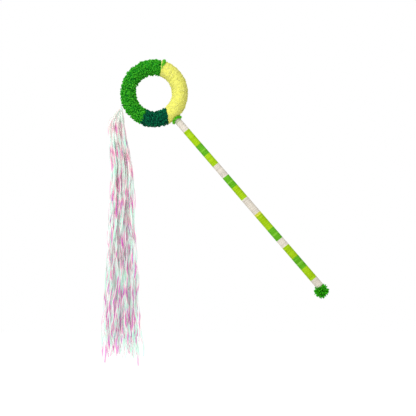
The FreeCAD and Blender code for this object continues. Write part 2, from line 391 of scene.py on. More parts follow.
def wound_skin_tree():
    """The lumpy surface of yarn wound round an arc of a ring, closed at both ends."""
    labels = ["Ring Radius", "Crest", "Valley", "Wobble", "Start", "End", "Start Lean", "End Lean"]
    tree = MeshTree("wound_skin", labels + ["Turns", "Rows", "Columns", "Seed"])
    net = {"Size X": 1.0, "Size Y": 1.0}
    net.update({"Vertices X": tree.given("Rows"), "Vertices Y": tree.given("Columns")})
    grid = tree.node("GeometryNodeMeshGrid", net).outputs[0]
    x, y, _ = tree.split(tree.node("GeometryNodeInputPosition").outputs[0])
    along = x + 0.5
    around = (y + 0.5) * FULL_TURN
    lean = tree.given("Start Lean") + (tree.given("End Lean") - tree.given("Start Lean")) * along
    angle = tree.given("Start") + (tree.given("End") - tree.given("Start")) * along
    angle = angle + lean * around.cosine()
    place = tree.combine(around.cosine(), around.sine(), angle * LUMPS_ALONG + tree.given("Seed"))
    lumps = tree.noise(LUMP_SCALE, place)
    turn = along * tree.given("Turns") + y + lumps * TURN_SWAY
    across = turn.fraction() * 2.0 - 1.0
    ridge = (tree.constant(1.0) - across * across).root()
    inside = x.absolute().below(END_OF_ARC)
    radius = tree.given("Crest") - tree.given("Valley") + tree.given("Valley") * ridge
    radius = (radius + tree.given("Wobble") * lumps) * inside
    from_axis = tree.given("Ring Radius") + radius * around.cosine()
    position = tree.combine(
        from_axis * angle.cosine(), radius * around.sine() * -1.0, from_axis * angle.sine()
    )
    # Painted shade in the valleys between turns, lighter towards their crests, through the pile finish's
    # colours.
    kept = tree.store(grid, "tip", ridge.power(3.0) * CREST_PAINTED_LIGHT)
    kept = tree.store(kept, "bare", tree.constant(1.0) - inside)
    moved = tree.node("GeometryNodeSetPosition", {0: kept, "Position": position}).outputs[0]
    merged = tree.node("GeometryNodeMergeByDistance", {0: moved, "Distance": DOUBLED}).outputs[0]
    return tree.end(merged)


NUB_ROOT = 0.2  # how deep a nub is rooted, as a share of its length
NUB_DROOP = 0.8  # how high its end is, as a share of its length
NUB_THINNING = 0.6


def pile_tree():
    """Curled ends of yarn that stand on the surface they are given, and the surface itself."""
    tree = MeshTree("pile", ["Length", "Radius", "Curl", "Lean", "Density", "Least", "Most", "Seed"])
    seed = tree.given("Seed")
    skin = tree.inputs["Geometry"]
    where = {"Mesh": skin, "Selection": tree.named("bare").below(0.1)}
    where.update({"Density": tree.given("Density"), "Seed": seed})
    spread = tree.node("GeometryNodeDistributePointsOnFaces", where)
    length = tree.given("Length")
    line = tree.node(
        "GeometryNodeCurveQuadraticBezier",
        {
            "Resolution": 4,
            "Start": tree.combine(0.0, 0.0, length * -NUB_ROOT),
            "Middle": tree.combine(0.0, 0.0, length),
            "End": tree.combine(length * tree.given("Curl"), 0.0, length * NUB_DROOP),
        },
    ).outputs[0]
    factor = tree.number("GeometryNodeSplineParameter")
    # The share from root to tip, by which the pile finish paints shade at a nub's root and a highlight at its
    # tip.
    line = tree.store(line, "tip", factor)
    ring = tree.node(
        "GeometryNodeCurvePrimitiveCircle", {"Resolution": 5, 4: tree.given("Radius")}, mode="RADIUS"
    ).outputs[0]
    thinning = tree.constant(1.0) - factor.power(3.0) * NUB_THINNING
    nub = tree.node(
        "GeometryNodeCurveToMesh",
        {"Curve": line, "Profile Curve": ring, "Scale": thinning, "Fill Caps": True},
    ).outputs[0]
    tilt = tree.random(tree.given("Lean") * -1.0, tree.given("Lean"), seed)
    spin = tree.random(0.0, FULL_TURN, seed + 1.0)
    turned = tree.node("FunctionNodeEulerToRotation", {0: tree.combine(tilt, 0.0, spin)}).outputs[0]
    rotation = tree.node(
        "FunctionNodeRotateRotation",
        {"Rotation": spread.outputs["Rotation"], "Rotate By": turned},
        rotation_space="LOCAL",
    ).outputs[0]
    size = tree.random(tree.given("Least"), tree.given("Most"), seed + 2.0)
    stood = {"Points": spread.outputs["Points"], "Instance": nub, "Rotation": rotation, "Scale": size}
    nubs = tree.node("GeometryNodeInstanceOnPoints", stood).outputs[0]
    nubs = tree.store(nubs, "shade", tree.random(0.0, 1.0, seed + 3.0), domain="INSTANCE")
    return tree.end(tree.join(skin, nubs))


def winding_tree():
    """Thread wound round the Z axis, upwards from the origin."""
    labels = ["Radius", "Length", "Thickness", "Thread Width", "Stray Start", "Stray Turns"]
    tree = MeshTree("winding", labels + ["Turns", "Seed"])
    turns = tree.given("Turns")
    thickness = tree.given("Thickness")
    radius = tree.given("Radius") - thickness / 2.0
    coil = {"Resolution": 28, "Rotations": turns, "Height": tree.given("Length")}
    coil.update({"Start Radius": radius, "End Radius": radius})
    spiral = tree.node("GeometryNodeCurveSpiral", coil).outputs[0]
    upright = tree.node("GeometryNodeSetCurveNormal", {0: spiral}, mode="Z_UP").outputs[0]
    turn = (tree.number("GeometryNodeSplineParameter") * turns).floor()
    shade = tree.random(0.0, 1.0, tree.given("Seed"), ID=turn)
    past = turn - tree.given("Stray Start")
    stray = past.below(tree.given("Stray Turns")) * (past * -1.0).below(0.5)
    kept = tree.store(tree.store(upright, "shade", shade), "stray", stray)
    ring = tree.node("GeometryNodeCurvePrimitiveCircle", {"Resolution": 8, 4: 0.5}, mode="RADIUS").outputs[0]
    scale = tree.combine(thickness, tree.given("Thread Width"), 1.0)
    oval = tree.node("GeometryNodeTransform", {0: ring, "Scale": scale}).outputs[0]
    thread = tree.node(
        "GeometryNodeCurveToMesh", {"Curve": kept, "Profile Curve": oval, "Fill Caps": True}
    ).outputs[0]
    return tree.end(thread)


def placed(name, data):
    """A new object in the scene, at the origin."""
    thing = bpy.data.objects.new(name, data)
    bpy.context.scene.collection.objects.link(thing)
    return thing


def grow(name, group, material, numbers, source=None):
    """A new object with what a tree makes of the source mesh, as a plain mesh."""
    mesh = source or bpy.data.meshes.new(name)
    piece = placed(name, mesh)
    modifier = piece.modifiers.new(group.name, "NODES")
    modifier.node_group = group
    values = {**numbers, "Material": material}
    for socket in group.interface.items_tree:
        if socket.in_out == "INPUT" and socket.name in values:
            modifier[socket.identifier] = values[socket.name]
    depsgraph = bpy.context.evaluated_depsgraph_get()
    result = bpy.data.meshes.new_from_object(piece.evaluated_get(depsgraph), depsgraph=depsgraph)
    piece.modifiers.clear()
    piece.data = result
    result.name = name
    bpy.data.meshes.remove(mesh)
    return piece


# Mesh work.

def grid_faces(rows, columns, closed_rows=False, closed_columns=False):
    """The faces of a net of points, row by row."""
    numbers = np.arange(rows * columns).reshape(rows, columns)
    if closed_rows:
        numbers = np.vstack([numbers, numbers[:1]])
    if closed_columns:
        numbers = np.hstack([numbers, numbers[:, :1]])
    corners = [numbers[:-1, :-1], numbers[1:, :-1], numbers[1:, 1:], numbers[:-1, 1:]]
    return np.stack(corners, axis=-1).reshape(-1, 4)


def tube(name, path, outward, radii, sides=10, closed=False):
    """A round tube along a path. A radius of nought closes an end."""
    path = np.array(path, float)
    outward = np.array(outward, float)
    ways = np.roll(path, -1, axis=0) - np.roll(path, 1, axis=0) if closed else np.gradient(path, axis=0)
    aside = np.cross(ways, outward)
    aside /= np.linalg.norm(aside, axis=1, keepdims=True)
    upward = np.cross(aside, ways)
    upward /= np.linalg.norm(upward, axis=1, keepdims=True)
    angles = np.linspace(0, FULL_TURN, sides, endpoint=False)[None, :, None]
    ring = np.cos(angles) * upward[:, None] + np.sin(angles) * aside[:, None]
    points = path[:, None] + ring * np.array(radii, float).reshape(-1, 1, 1)
    mesh = bpy.data.meshes.new(name)
    faces = grid_faces(len(path), sides, closed_rows=closed, closed_columns=True)
    mesh.from_pydata(points.reshape(-1, 3).tolist(), [], faces.tolist())
    tidy_mesh(mesh)
    return mesh


def tidy_mesh(mesh):
    """Merges doubled points, turns the faces outwards and smooths them."""
    work = bmesh.new()
    work.from_mesh(mesh)
    bmesh.ops.remove_doubles(work, verts=work.verts, dist=1e-6)
    bmesh.ops.recalc_face_normals(work, faces=work.faces)
    for face in work.faces:
        face.smooth = True
    work.to_mesh(mesh)
    work.free()


def show(name, mesh, material):
    mesh.materials.append(material)
    return placed(name, mesh)


def finish_piece(piece, body, slot, *nodes):
    """Fixes a finished piece to its body, in place of the nodes it stands for."""
    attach(piece, body)
    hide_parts(*nodes)


# Finishes.

def new_finish(name, **values):
    """A material, its tree and its surface, with values for the surface's own sockets."""
    material = bpy.data.materials.new(name)
    material.use_nodes = True
    tree = Tree(material.node_tree)
    surface = next(node for node in material.node_tree.nodes if node.type == "BSDF_PRINCIPLED")
    for socket, value in values.items():
        surface.inputs[socket.replace("_", " ")].default_value = value
    return material, tree, surface


def attribute(tree, name):
    return tree.number("ShaderNodeAttribute", output=2, attribute_name=name)


def object_place(tree):
    return tree.node("ShaderNodeTexCoord").outputs["Object"]


def grain(tree, scale, place=None, detail=2.0):
    inputs = {"Vector": place or object_place(tree), "Scale": scale, "Detail": detail}
    return tree.number("ShaderNodeTexNoise", inputs)


def ramp(tree, value, *stops):
    """A colour by where a value lies between stops of (place, colour)."""
    node = tree.node("ShaderNodeValToRGB", {0: value})
    elements = node.color_ramp.elements
    while len(elements) < len(stops):
        elements.new(0.5)
    for element, (place, colour) in zip(elements, stops):
        element.position = place
        element.color = (*colour, 1)
    return node.outputs[0]


def coloured(tree, surface, value, *stops):
    tree.give(surface.inputs["Base Color"], ramp(tree, value, *stops))


def dent(tree, surface, height, depth):
    """Bumps a surface by a height, to a depth in metres."""
    node = tree.node("ShaderNodeBump", {"Height": height, "Distance": depth})
    tree.give(surface.inputs["Normal"], node.outputs[0])


def pile_finish(name, gap, body, light):
    """Yarn pile: the gap colour is painted shade between the nubs, the light colour a painted highlight at
    their tips, with fine fibres.
    """
    material, tree, surface = new_finish(
        name, Roughness=0.9, Specular_IOR_Level=0.05, Sheen_Weight=0.15, Sheen_Tint=(*light, 1)
    )
    patches = grain(tree, 260.0) - 0.5
    # Painted shade low on the nubs and in the valleys, painted highlight at the tips; shade and patches vary
    # the tone at random.
    value = attribute(tree, "tip") * 0.6 + attribute(tree, "shade") * 0.32 + patches * 0.9
    coloured(tree, surface, value, (0.0, gap), (0.45, body), (0.92, light))
    dent(tree, surface, grain(tree, 3200.0), 0.0003)
    return material


def thread_finish(name, colour, stray=None):
    """Wound thread: each turn has its own shade, with fine plies along it."""
    material, tree, surface = new_finish(
        name, Roughness=0.7, Specular_IOR_Level=0.12, Sheen_Weight=0.03, Sheen_Roughness=0.3
    )
    value = attribute(tree, "shade") * 0.6 + grain(tree, 900.0) * 0.4
    dark = tuple(part * 0.80 for part in colour)
    light = tuple(min(1, part * 1.08 + 0.01) for part in colour)
    shaded = ramp(tree, value, (0.1, dark), (0.5, colour), (0.9, light))
    if stray:
        mix = tree.node(
            "ShaderNodeMix",
            {0: attribute(tree, "stray") * 0.8, 6: shaded, 7: (*stray, 1)},
            data_type="RGBA",
        )
        shaded = mix.outputs[2]
    tree.give(surface.inputs["Base Color"], shaded)
    dent(tree, surface, grain(tree, 5000.0), 0.0001)
    return material


def wood_finish():
    """Pale dowel wood with its grain along the stick."""
    material, tree, surface = new_finish("dowel_wood", Roughness=0.6, Specular_IOR_Level=0.3)
    tilt = math.atan2(STICK_WAY.z, STICK_WAY.x)
    inputs = {"Vector": object_place(tree), "Rotation": (0, tilt, 0), "Scale": (12, 260, 260)}
    lengthways = tree.node("ShaderNodeMapping", inputs).outputs[0]
    value = grain(tree, 4.0, lengthways, detail=5.0)
    coloured(tree, surface, value, (0.3, paint(184, 140, 92)), (0.6, paint(226, 196, 150)))
    dent(tree, surface, value, 0.0002)
    return material


def foam_finish():
    """White craft foam with small beads."""
    material, tree, surface = new_finish("white_foam", Roughness=0.9, Specular_IOR_Level=0.2)
    beads = tree.number("ShaderNodeTexVoronoi", {"Vector": object_place(tree), "Scale": 600.0})
    coloured(tree, surface, beads, (0.3, paint(244, 244, 240)), (0.8, paint(214, 216, 214)))
    dent(tree, surface, beads, 0.0004)
    return material


def glue_finish():
    """Clear yellowish glue, set with small ripples."""
    material, tree, surface = new_finish(
        "set_glue", Roughness=0.2, Transmission_Weight=0.6, Coat_Weight=0.5
    )
    ripples = grain(tree, 500.0)
    coloured(tree, surface, ripples, (0.35, paint(240, 232, 200)), (0.7, paint(222, 204, 150)))
    dent(tree, surface, ripples, 0.0002)
    return material


FILM_GLOW = 0.42  # how much of the film's colour is light that comes through it


def film_finish(alpha):
    """Iridescent film: its tint runs from mint through cream to pink and violet."""
    gloss = dict(Roughness=0.22, Specular_IOR_Level=0.6, Coat_Weight=0.4, Coat_Roughness=0.1)
    material, tree, surface = new_finish("iridescent_film", **gloss)
    colour = ramp(
        tree,
        attribute(tree, "tint") + (grain(tree, 90.0) - 0.5) * 0.12,
        (0.0, paint(192, 255, 222)),
        (0.18, paint(214, 255, 246)),
        (0.34, paint(246, 255, 250)),
        (0.46, paint(255, 250, 244)),
        (0.56, paint(250, 236, 232)),
        (0.66, paint(250, 196, 212)),
        (0.78, paint(246, 116, 176)),
        (0.92, paint(214, 92, 208)),
    )
    tree.give(surface.inputs["Base Color"], colour)
    dent(tree, surface, grain(tree, 400.0), 0.0002)
    glow = tree.node("ShaderNodeBsdfTranslucent", {"Color": colour})
    mix = tree.node("ShaderNodeMixShader", {0: FILM_GLOW, 1: surface.outputs[0], 2: glow.outputs[0]})
    clear = tree.node("ShaderNodeBsdfTransparent")
    cover = tree.node("ShaderNodeMixShader", {0: alpha, 1: clear.outputs[0], 2: mix.outputs[0]})
    output = next(node for node in material.node_tree.nodes if node.type == "OUTPUT_MATERIAL")
    tree.give(output.inputs["Surface"], cover.outputs[0])
    return material


def settings():
    return bpy.context.scene.ribbon_wand


class WandOperator(bpy.types.Operator):
    """What every step of making the wand shares."""

    bl_options = {"REGISTER", "UNDO"}


class RIBBONWAND_OT_yarn(WandOperator):
    """Wind the three colours of yarn round the ring."""

    bl_idname = "ribbon_wand.yarn"
    bl_label = "Wind the ring"

    def execute(self, context):
        yarn = settings().yarn
        skin_tree = wound_skin_tree()
        nubs = (yarn.nub_length, yarn.nub_radius, yarn.nubs_per_cm2, yarn.valley, yarn.nub_lean)
        plush = (
            yarn.plush_length, yarn.plush_radius, yarn.plush_per_cm2, yarn.plush_valley,
            yarn.plush_lean,
        )
        # Each arc's gap colour is painted shade in its depths, and its light colour a painted highlight on
        # its tips.
        arcs = [
            ("green", yarn.green_painted_shade, yarn.green, yarn.green_painted_highlight, nubs, yarn.top_lean, 0),
            ("dark_green", yarn.dark_painted_shade, yarn.dark, yarn.dark_painted_highlight, nubs, 0, yarn.low_lean),
            (
                "yellow", yarn.yellow_painted_shade, yarn.yellow, yarn.yellow_painted_highlight, plush,
                yarn.low_lean, yarn.top_lean,
            ),
        ]
        for seed, (colour, gap, body, light, nub, start_lean, end_lean) in enumerate(arcs):
            node = f"yarn_{colour}"
            start, end = arc_of(node)
            length, radius, per_cm2, valley, lean = nub
            turns = round((end - start) / yarn.turn_angle)
            finish = pile_finish(f"{node}_pile", gap, body, light)
            crest = YARN_RADIUS - length * yarn.stand
            numbers = {
                "Ring Radius": RING_RADIUS,
                "Crest": crest,
                "Valley": valley,
                "Wobble": yarn.wobble,
                "Start": start,
                "End": end,
                "Start Lean": start_lean,
                "End Lean": end_lean,
                "Turns": turns,
                "Rows": turns * SKIN_ROWS + 1,
                "Columns": SKIN_COLUMNS,
                "Seed": seed,
            }
            skin = grow(f"{node}_skin", skin_tree, finish, numbers)
            skin.data.transform(Matrix.Translation(RING_CENTRE))
            name = f"wound_{node}"
            piece = pile(name, skin.data, finish, length, radius, per_cm2, lean=lean, seed=seed)
            bpy.data.objects.remove(skin)
            finish_piece(piece, "wand", node, node)
        return {"FINISHED"}


def pile(
    name, skin, finish, length, radius, per_cm2, curl=0.75, lean=0.9, least=0.8, most=1.25, seed=0
):
    """Pile on a skin."""
    tree = bpy.data.node_groups.get("pile") or pile_tree()
    numbers = {
        "Length": length,
        "Radius": radius,
        "Curl": curl,
        "Lean": lean,
        "Density": per_cm2 * 10000.0,
        "Least": least,
        "Most": most,
        "Seed": seed * 10,
    }
    return grow(name, tree, finish, numbers, skin.copy())


COLLAR_NUBS = (1.1 * MM, 0.34 * MM, 190)  # length, radius and number a square centimetre
TAIL_NUBS = (1.2 * MM, 0.34 * MM, 170)


class RIBBONWAND_OT_loose_yarn(WandOperator):
    """Lay the collar round the stick and the tail across the yellow yarn."""

    bl_idname = "ribbon_wand.loose_yarn"
    bl_label = "Lay the loose yarn"

    def execute(self, context):
        yarn = settings().yarn
        self.lay_collar(yarn)
        self.lay_tail(yarn)
        return {"FINISHED"}

    COLLAR_SPREAD = 0.3  # how far the collar widens as a share of how far it rides up

    def lay_collar(self, yarn):
        """The collar rides up the ring in front and behind, and hugs the stick."""
        # The green yarn's colour is painted shade in the collar's depths, and the collar light a painted
        # highlight on its tips.
        finish = pile_finish("yarn_collar_pile", yarn.green, yarn.collar, yarn.collar_painted_highlight)
        place = middle("ring_collar")
        radius = extent("ring_collar").y / 2 - yarn.collar_radius
        aside = STICK_WAY.cross(FRONT)
        path = []
        outward = []
        for angle in np.linspace(0, FULL_TURN, 48, endpoint=False):
            spoke = aside * math.cos(angle) + FRONT * math.sin(angle)
            rise = yarn.collar_bulge * math.sin(angle) ** 2
            path.append(place + spoke * (radius + rise * self.COLLAR_SPREAD) - STICK_WAY * rise)
            outward.append(spoke)
        skin = tube("collar_skin", path, outward, [yarn.collar_radius] * len(path), closed=True)
        piece = pile("loop_of_collar_yarn", skin, finish, *COLLAR_NUBS, seed=5)
        finish_piece(piece, "wand", "yarn_collar", "ring_collar")

    TAIL_START = 14  # degrees round the tube, from the ring's rim towards its front
    TAIL_SWEEP = 80
    TAIL_LIFT = 0.1 * MM
    TAIL_PEAK = 0.45  # the smaller, the nearer its start the tail is thickest
    TAIL_FULLNESS = 0.7
    TAIL_THINNING = 0.7

    def lay_tail(self, yarn):
        """The tail starts as a tuft at the ring's rim and thins out over its front."""
        # The green yarn's colour is painted shade in the tail's depths, and the collar light a painted
        # highlight on its tips.
        finish = pile_finish("yarn_tail_pile", yarn.green, yarn.collar, yarn.collar_painted_highlight)
        low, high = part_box("yarn_green_tail")
        start = math.atan2(high.z - RING_CENTRE.z, (low.x + high.x) / 2 - RING_CENTRE.x)
        spoke = Vector((math.cos(start), 0, math.sin(start)))
        hoop = RING_CENTRE + spoke * RING_RADIUS
        path = []
        outward = []
        shares = np.linspace(0, 1, 24)
        for share in shares:
            angle = math.radians(self.TAIL_START + self.TAIL_SWEEP * share)
            way = spoke * math.cos(angle) + FRONT * math.sin(angle)
            path.append(hoop + way * (YARN_RADIUS + self.TAIL_LIFT))
            outward.append(way)
        swell = np.sin(np.pi * np.clip(shares * 1.02, 0, 1) ** self.TAIL_PEAK) ** self.TAIL_FULLNESS
        radii = yarn.tail_radius * swell * (1 - self.TAIL_THINNING * shares)
        radii[[0, -1]] = 0
        skin = tube("tail_skin", path, outward, radii)
        piece = pile("tail_of_green_yarn", skin, finish, *TAIL_NUBS, seed=6)
        finish_piece(piece, "wand", "yarn_green", "yarn_green_tail")


class RIBBONWAND_OT_thread(WandOperator):
    """Wind the bands of thread on the stick."""

    bl_idname = "ribbon_wand.thread"
    bl_label = "Wind the stick"

    def execute(self, context):
        thread = settings().thread
        finishes = {
            "cream": thread_finish("cream_thread", thread.cream, thread.stray_in_cream),
            "lime": thread_finish("lime_thread", thread.lime),
            "green": thread_finish("green_thread", thread.green, thread.stray_in_green),
            "yellow": thread_finish("yellow_thread", thread.yellow),
        }
        turn_to_stick = Vector((0, 0, 1)).rotation_difference(STICK_WAY).to_matrix().to_4x4()
        tree = winding_tree()
        bands = sorted(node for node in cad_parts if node.startswith("wrap_"))
        for number, node in enumerate(bands):
            colour = node.split("_")[-1]
            place, radius, length = sleeve_of(node)
            turns = round(length / thread.pitch)
            stray = {
                "cream": (round(thread.stray_place / thread.pitch), 1 if number == 0 else 0),
                "green": (turns // 2, 2),
            }.get(colour, (0, 0))
            numbers = {
                "Radius": radius,
                "Length": length,
                "Thickness": radius - STICK_RADIUS,
                "Thread Width": length / turns * thread.overlap,
                "Stray Start": float(stray[0]),
                "Stray Turns": float(stray[1]),
                "Turns": turns,
                "Seed": number,
            }
            piece = grow(f"{node}_winding", tree, finishes[colour], numbers)
            start = Matrix.Translation(place - STICK_WAY * length / 2)
            piece.data.transform(start @ turn_to_stick)
            finish_piece(piece, "wand", f"thread_{colour}", node)
        return {"FINISHED"}


class RIBBONWAND_OT_pompom(WandOperator):
    """Make the pom-pom."""

    bl_idname = "ribbon_wand.pompom"
    bl_label = "Make the pom-pom"

    def execute(self, context):
        pompom = settings().pompom
        # The pom-pom's gap colour is painted shade in its depths and on the heart, and its light colour is a
        # painted highlight on the tips.
        finish = pile_finish("pompom_pile_yarn", pompom.gap, pompom.green, pompom.light)
        work = bmesh.new()
        place = Matrix.Translation(middle("pompom_tie"))
        bmesh.ops.create_icosphere(work, subdivisions=3, radius=pompom.heart, matrix=place)
        heart = bpy.data.meshes.new("heart")
        work.to_mesh(heart)
        work.free()
        ends = (pompom.end_length, pompom.end_radius, pompom.ends_per_cm2)
        piece = pile("pompom", heart, finish, *ends, curl=0.3, lean=0.6, least=0.45, most=1.5, seed=8)
        finish_piece(piece, "wand", "pompom_pile", "pompom_pile")
        return {"FINISHED"}


class RIBBONWAND_OT_tie(WandOperator):
    """Tie the hank's thread: the knot, the strand below it and the binding round the neck."""

    bl_idname = "ribbon_wand.tie"
    bl_label = "Tie the hank"

    def execute(self, context):
        tie = settings().tie
        finish = thread_finish("tie_thread", tie.colour)
        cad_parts["pompom_tie"].material_slots[0].material = finish
        finish_piece(self.loop(tie, finish), "wand", "tie_thread", "tie_loop")
        finish_piece(self.knot(tie, finish), "knot", "tie_thread", "tie_knot")
        finish_piece(self.strand(tie, finish), "strand", "tie_thread", "tie_strand")
        finish_piece(self.binding(tie, finish), "hank_top", "tie_thread", "neck_binding")
        return {"FINISHED"}

    LOOP_RISE = 12  # the larger, the nearer the knot the loop comes out of the pile

    def loop(self, tie, finish):
        """The loop round the ring's tube lies deep in the pile, and comes out beside the knot."""
        spoke = (KNOT - RING_CENTRE).normalized()
        hoop = RING_CENTRE + spoke * RING_RADIUS
        path = []
        outward = []
        for angle in np.linspace(0, FULL_TURN, 60, endpoint=False):
            way = spoke * math.cos(angle) + FRONT * math.sin(angle)
            out = max(0, math.cos(angle)) ** self.LOOP_RISE
            path.append(hoop + way * (YARN_RADIUS - tie.loop_depth * (1 - out)))
            outward.append(way)
        radii = [tie.thread_radius] * len(path)
        return show("loop_of_thread", tube("loop_of_thread", path, outward, radii, closed=True), finish)

    def knot(self, tie, finish):
        """A trefoil of thread, as large as the knot's ball."""
        angles = np.linspace(0, FULL_TURN, 96, endpoint=False)
        x = np.sin(angles) + 2 * np.sin(2 * angles)
        y = np.cos(angles) - 2 * np.cos(2 * angles)
        z = -np.sin(3 * angles)
        reach = (extent("tie_knot").y / 2 - 1.5 * tie.thread_radius) / 3
        path = np.stack([x, z, y], axis=1) * reach + np.array(KNOT)
        outward = np.stack([np.sin(angles * 2), np.full_like(angles, 0.2), np.cos(angles * 2)], axis=1)
        radii = [tie.thread_radius] * len(path)
        return show("knot_of_thread", tube("knot_of_thread", path, outward, radii, closed=True), finish)

    def strand(self, tie, finish):
        """Two plies twisted together."""
        low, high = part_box("tie_strand")
        shares = np.linspace(0, 1, 20)
        radius = (high.x - low.x) / 4
        work = bmesh.new()
        for start in (0, math.pi):
            angles = start + shares * FULL_TURN
            spokes = np.stack([np.cos(angles), np.sin(angles), np.zeros_like(angles)], axis=1)
            path = np.array(middle("tie_strand")) + spokes * radius
            path[:, 2] = low.z + shares * (high.z - low.z)
            radii = np.full(len(path), radius)
            radii[[0, -1]] = 0
            work.from_mesh(tube("ply", path, spokes, radii))
        mesh = bpy.data.meshes.new("strand_of_thread")
        work.to_mesh(mesh)
        work.free()
        return show("strand_of_thread", mesh, finish)

    def binding(self, tie, finish):
        """Thread whipped round the neck."""
        low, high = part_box("neck_binding")
        radius = (high.x - low.x) / 2
        length = high.z - low.z
        turns = round(length / tie.binding_pitch)
        numbers = {
            "Radius": radius,
            "Length": length - tie.binding_pitch,
            "Thickness": tie.thread_radius,
            "Thread Width": tie.binding_pitch * 1.1,
            "Stray Start": 0.0,
            "Stray Turns": 0.0,
            "Turns": turns,
            "Seed": 40,
        }
        tree = bpy.data.node_groups["winding"]
        piece = grow("binding_of_thread", tree, finish, numbers)
        foot = Vector((middle("neck_binding").x, 0, low.z + tie.binding_pitch / 2))
        piece.data.transform(Matrix.Translation(foot))
        return piece


class RIBBONWAND_OT_film(WandOperator):
    """Hang the film strips."""

    bl_idname = "ribbon_wand.film"
    bl_label = "Hang the film strips"

    def execute(self, context):
        film = settings().film
        finish = film_finish(film.alpha)
        hank = Hank(film)
        cuts = [hank.top, KNOT.z - middle("streamer_2").z, KNOT.z - middle("streamer_3").z, None]
        joints = ["bend_upper", "bend_middle", "bend_lower"]
        names = ["upper_film_strips", "middle_film_strips", "lower_film_strips"]
        nodes = [["streamer_1"], ["streamer_2"], ["streamer_3", "streamer_4"]]
        for number, (name, joint) in enumerate(zip(names, joints)):
            mesh, length = hank.stretch(name, cuts[number], cuts[number + 1])
            piece = show(name, mesh, finish)
            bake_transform(piece)
            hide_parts(*nodes[number])
        return {"FINISHED"}


class Hank:
    """The strips' own lines, twists and tints, by their depth below the knot."""

    # Lengths of the waves in metres, and their heights beside each other.
    STRAYS = ((0.31, 1.0), (0.12, 0.6), (0.05, 0.3))
    SHIMMER = ((0.07, 0.9), (0.038, 0.8), (0.018, 0.5))
    LEAST_STRETCH = 0.75  # each strip's waves are this to 1.25 times their length
    STRETCH_RANGE = 0.5
    WAVE_SIZE = 1.3
    STRAY_GROWTH = 0.7  # the smaller, the sooner a strip strays below the neck
    TWIST_GROWTH = 0.8
    FEWEST_TWISTS = 1.5
    MOST_TWISTS = 4.5
    PHASE_STEP = 3.7  # how much a strip's phase moves on from one wave to the next
    ROWS = 60  # rows of points down each stretch
    SWAY = 1.6  # how far a strip's twist strays, in radians
    WHITE = 0.43  # the tint between mint and pink that the strips are on the whole
    SHIMMER_SHARE = 0.75  # how much of the tint is shimmer; the rest is the strip's twist

    def __init__(self, film):
        self.film = film
        self.draws = np.random.default_rng(film.seed)
        self.top = KNOT.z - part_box("streamer_1")[1].z
        self.length = KNOT.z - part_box("streamer_4")[0].z
        self.end_half = extent("streamer_4").x / 2
        self.neck_half = extent("neck_binding").x / 2 - 0.4 * MM
        count = film.strips
        share = np.sqrt(self.draws.random(count))
        turn = self.draws.random(count) * FULL_TURN
        self.aside = share * np.cos(turn)
        self.depthways = share * np.sin(turn)
        spread = self.draws.random(count)
        self.ends = self.length * (film.shortest + (film.usual - film.shortest) * spread)
        self.ends[0] = self.length * film.longest
        self.ends[1] = self.length * (film.longest + film.usual) / 2
        self.phases = self.draws.random((count, 8)) * FULL_TURN
        twists = self.draws.uniform(self.FEWEST_TWISTS, self.MOST_TWISTS, count)
        self.twists = twists * self.draws.choice([-1, 1], count)
        self.paces = self.draws.random(count)

    def wave(self, waves, depth, column):
        """Smooth noise from about -1 to 1 down each strip."""
        total = np.zeros_like(depth)
        for number, (length, height) in enumerate(waves):
            phase = self.phases[:, column][:, None] * (number * self.PHASE_STEP + 1)
            stretch = self.LEAST_STRETCH + self.STRETCH_RANGE * self.paces[:, None]
            total += height * np.sin(depth * FULL_TURN / (length * stretch) + phase)
        return total / sum(height for _, height in waves) * self.WAVE_SIZE

    def half_width(self, depth):
        film = self.film
        flare = np.clip((depth - self.top) / (film.flare_depth - self.top), 0, 1)
        opened = self.neck_half + (film.flare_half - self.neck_half) * np.sin(flare * math.pi / 2)
        lower = np.clip((depth - film.flare_depth) / (self.length - film.flare_depth), 0, 1.05)
        return opened + (self.end_half - film.flare_half) * lower

    def lean(self, depth):
        bottom = KNOT.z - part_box("streamer_1")[0].z
        rise = np.clip((depth - self.top) / (self.film.flare_depth - self.top), 0, 1)
        fall = np.clip((bottom - depth) / (bottom - self.film.flare_depth), 0, 1)
        return self.film.lean * np.sin(rise * math.pi / 2) * fall

    def stretch(self, name, start, end):
        """The strips between two depths, or from one depth to each strip's own end."""
        film = self.film
        shares = np.linspace(0, 1, self.ROWS)[None, :]
        last = self.ends[:, None] if end is None else np.full((film.strips, 1), end)
        depth = start + (last - start) * shares
        half = self.half_width(depth)
        grown = np.clip((depth - self.top) / self.length, 0, 1)
        wander = film.wander * grown**self.STRAY_GROWTH
        x = self.aside[:, None] * half + wander * self.wave(self.STRAYS, depth, 0) - self.lean(depth)
        y = (self.depthways[:, None] * half + wander * self.wave(self.STRAYS, depth, 1)) * film.flatness
        lines = np.stack([x, y, -depth], axis=-1) + np.array(KNOT)
        ways = np.gradient(lines, axis=1)
        ways /= np.linalg.norm(ways, axis=-1, keepdims=True)
        turns = self.twists[:, None] * (depth / self.length) ** self.TWIST_GROWTH
        twist = self.phases[:, 2][:, None] + turns * FULL_TURN
        twist = twist + self.SWAY * self.wave(self.STRAYS, depth, 3)
        across = np.stack([np.cos(twist), np.sin(twist), np.zeros_like(twist)], axis=-1)
        across -= ways * (across * ways).sum(-1, keepdims=True)
        across /= np.linalg.norm(across, axis=-1, keepdims=True)
        opened = np.clip((depth - self.top) / film.flare_depth, 0, 1)
        width = (film.neck_width + (film.width - film.neck_width) * opened)[..., None]
        crown = np.cross(across, ways) * film.cup * opened[..., None]
        points = np.stack([lines - across * width / 2, lines + crown, lines + across * width / 2], axis=2)
        mesh = bpy.data.meshes.new(name)
        rows = shares.shape[1]
        net = grid_faces(rows, 3)
        faces = np.concatenate([net + strip * rows * 3 for strip in range(film.strips)])
        mesh.from_pydata(points.reshape(-1, 3).tolist(), [], faces.tolist())
        mesh.polygons.foreach_set("use_smooth", np.ones(len(mesh.polygons), bool))
        tint = mesh.attributes.new("tint", "FLOAT", "POINT")
        tint.data.foreach_set("value", self.tint(depth, twist, grown).ravel().astype(np.float32))
        return mesh, float((last - start).mean())

